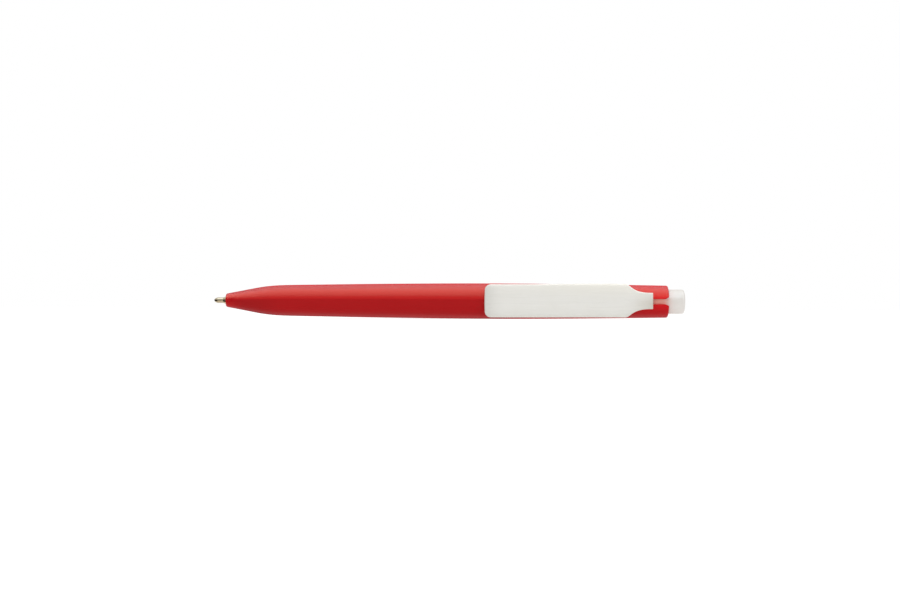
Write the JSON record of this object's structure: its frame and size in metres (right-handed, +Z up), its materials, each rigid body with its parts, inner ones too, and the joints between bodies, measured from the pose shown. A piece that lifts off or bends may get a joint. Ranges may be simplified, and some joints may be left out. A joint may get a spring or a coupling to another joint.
{
  "type": "ballpoint pen",
  "caption": "Click ballpoint pen: tapered one-piece barrel, wide flat pocket clip set in a slot, push button, ratchet, and a sprung refill with a metal point.",
  "frame": {"origin": "under the middle of the pen's box, on the surface that the pen lies on", "axes": "+X along the pen toward the push button, -X toward the point, -Y toward the clip, +Z up while the pen lies on its side"},
  "size_m": [0.141, 0.0126, 0.0105],
  "materials": {
    "red_plastic": "satin moulded plastic",
    "white_plastic": "satin moulded plastic",
    "natural_nylon": "moulded, undyed",
    "spring_steel": "drawn wire",
    "clear_plastic": "clear extruded tube",
    "red_ink": "thick ink",
    "follower_grease": "clear grease",
    "nickel_silver": "turned metal",
    "carbide": "polished ball"
  },
  "bodies": {
    "barrel": {"barrel": "red_plastic", "cam_sleeve": "natural_nylon", "return_spring": "spring_steel"},
    "clip": {"clip": "white_plastic"},
    "button": {"push_button": "white_plastic"},
    "refill": {"refill_tube": "clear_plastic", "ink_column": "red_ink", "ink_follower": "follower_grease", "point_holder": "nickel_silver"},
    "rotor": {"ratchet_rotor": "natural_nylon"},
    "ball": {"writing_ball": "carbide"}
  },
  "joints": [
    {"name": "button_slide", "type": "slide", "parent": "barrel", "child": "button", "axis": [1, 0, 0], "range_m": [-0.0015, 0.0055]},
    {"name": "refill_slide", "type": "slide", "parent": "barrel", "child": "refill", "axis": [1, 0, 0], "range_m": [-0.0015, 0.0055], "deforming": ["return_spring"]},
    {"name": "rotor_turn", "type": "hinge", "parent": "refill", "child": "rotor", "pos_m": [0.0365, 0.00106, 0.00523], "axis": [1, 0, 0], "continuous": true},
    {"name": "ball_roll", "type": "hinge", "parent": "refill", "child": "ball", "pos_m": [-0.07, 0.00106, 0.00523], "axis": [0, 0, 1], "continuous": true},
    {"name": "clip_flex", "type": "hinge", "parent": "barrel", "child": "clip", "pos_m": [0.05655, -0.00416, 0.00523], "axis": [0, 0, 1], "range_deg": [0, 3], "stiffness_Nm_per_rad": 1.5}
  ],
  "couplings": [
    {"joint": "refill_slide", "follows": "button_slide", "ratio": 1}
  ]
}
